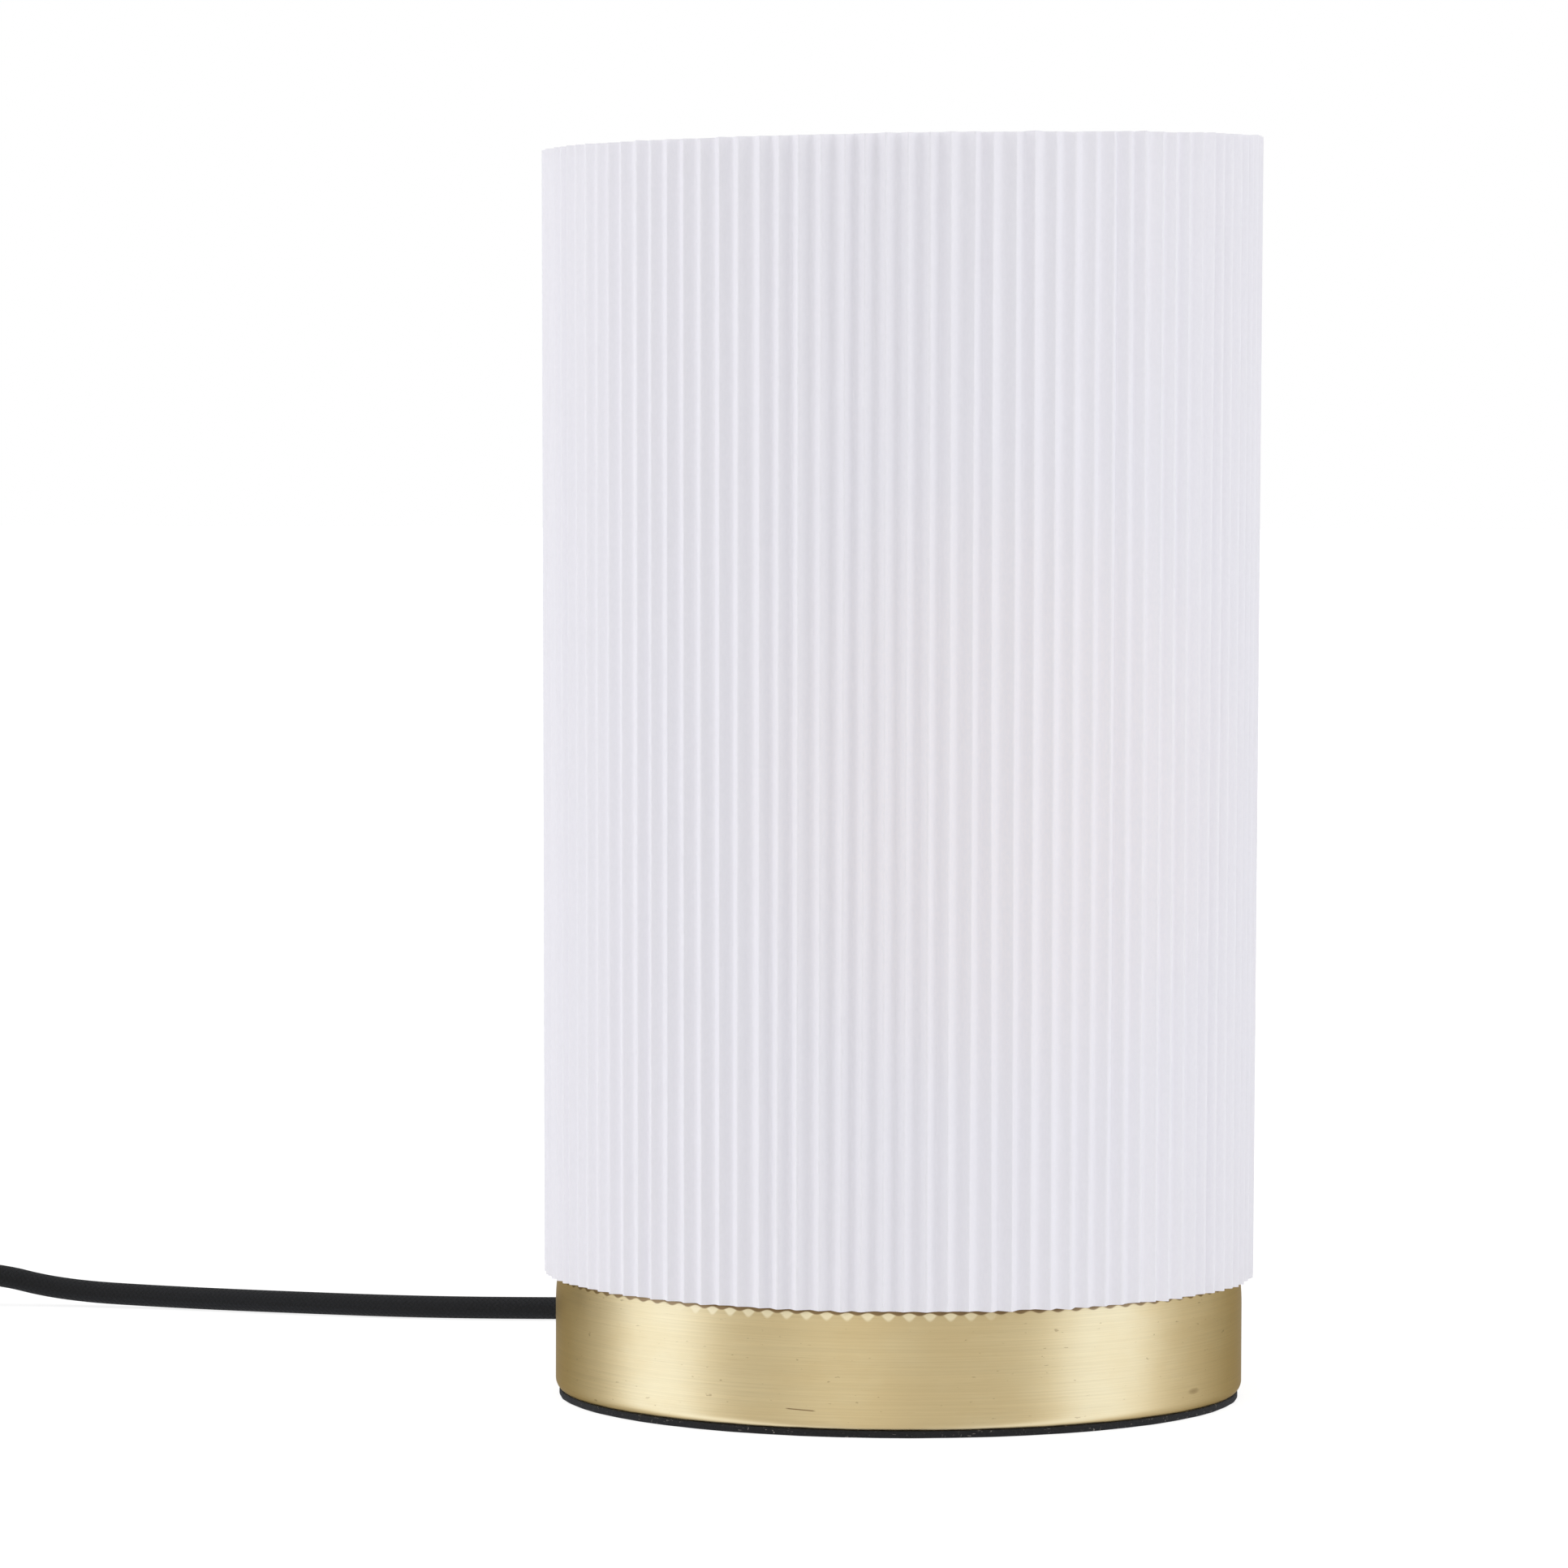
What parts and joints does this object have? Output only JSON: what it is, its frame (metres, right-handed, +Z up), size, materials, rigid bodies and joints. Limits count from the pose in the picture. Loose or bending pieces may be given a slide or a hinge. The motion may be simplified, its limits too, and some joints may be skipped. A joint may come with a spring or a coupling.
{
  "type": "table lamp",
  "caption": "Table lamp with an upright pleated paper drum shade on a round brushed brass base, with a braided flex, inline switch and plug.",
  "frame": {"origin": "centre of the foot pad's underside, on the table", "axes": "+Z up through the lampholder, +Y towards the back where the cord leaves, +X to the right as seen from the front"},
  "size_m": [0.4504, 0.2303, 0.25],
  "materials": {
    "pleated_paper": "uncoated white paper, vertically pleated",
    "liner_film": "white translucent film",
    "seam_tape": "white cloth tape",
    "white_steel": "white powder coat",
    "brushed_brass": "fine horizontal satin brushing",
    "contact_brass": "plain bright brass",
    "zinc_steel": "zinc plated",
    "iron": "black painted casting",
    "foot_pad": "black foam rubber",
    "black_plastic": "fine satin",
    "rocker_black": "smooth",
    "braid": "black woven textile sleeve",
    "blue_core": "smooth insulation",
    "brown_core": "smooth insulation",
    "ceramic": "unglazed",
    "opal": "opal, satin",
    "white_plastic": "smooth",
    "cap_metal": "nickel plated",
    "black_insulator": "glossy vitreous",
    "board_white": "white lacquer",
    "board_green": "glass-fibre laminate",
    "phosphor": "yellow phosphor"
  },
  "bodies": {
    "lamp": {"foot_pad": "foot_pad", "bottom_plate": "zinc_steel", "plate_screws": "zinc_steel", "base_drum": "brushed_brass", "ballast": "iron", "threaded_nipple": "zinc_steel", "lock_nut": "zinc_steel", "lock_washer": "zinc_steel", "seat_washer": "zinc_steel", "cord_saddle": "black_plastic", "saddle_screws": "zinc_steel", "strain_relief": "black_plastic", "flex_inner": "braid", "live_lead": "brown_core", "neutral_lead": "blue_core", "holder_cap": "black_plastic", "holder_shell": "black_plastic", "holder_core": "ceramic", "terminal_blocks": "contact_brass", "terminal_screws": "zinc_steel", "contact_rivets": "contact_brass", "centre_contact": "contact_brass", "screw_sleeve": "contact_brass", "cord_to_switch": "braid", "cord_to_coil": "braid", "cord_coil": "braid", "cord_to_plug": "braid", "switch_lower": "black_plastic", "switch_upper": "black_plastic", "switch_contacts": "contact_brass", "switch_flex": "braid", "switch_leads": "brown_core", "case_screws": "zinc_steel", "plug_body": "black_plastic", "plug_boot": "black_plastic", "plug_flex": "braid", "plug_pins": "cap_metal", "pin_sleeves": "black_plastic"},
    "shade": {"shade_pleats": "pleated_paper", "shade_liner": "liner_film", "seam_tape": "seam_tape", "rest_ring": "white_steel", "top_ring": "white_steel"},
    "bulb": {"bulb_tip": "cap_metal", "bulb_insulator": "black_insulator", "bulb_screw_cap": "cap_metal", "bulb_housing": "white_plastic", "driver_board": "board_green", "light_board": "board_white", "light_chips": "phosphor", "bulb_globe": "opal"},
    "rocker": {"switch_rocker": "rocker_black", "contact_bridge": "contact_brass"}
  },
  "joints": [
    {"name": "shade_lift", "type": "slide", "parent": "lamp", "child": "shade", "axis": [0, 0, 1], "range_m": [0, 0.17]},
    {"name": "bulb_out", "type": "slide", "parent": "lamp", "child": "bulb", "axis": [0, 0, 1], "range_m": [0, 0.2]},
    {"name": "rocker_tilt", "type": "hinge", "parent": "lamp", "child": "rocker", "pos_m": [-0.243, 0.145, 0.012], "axis": [0, -1, 0], "range_deg": [0, 16]}
  ]
}
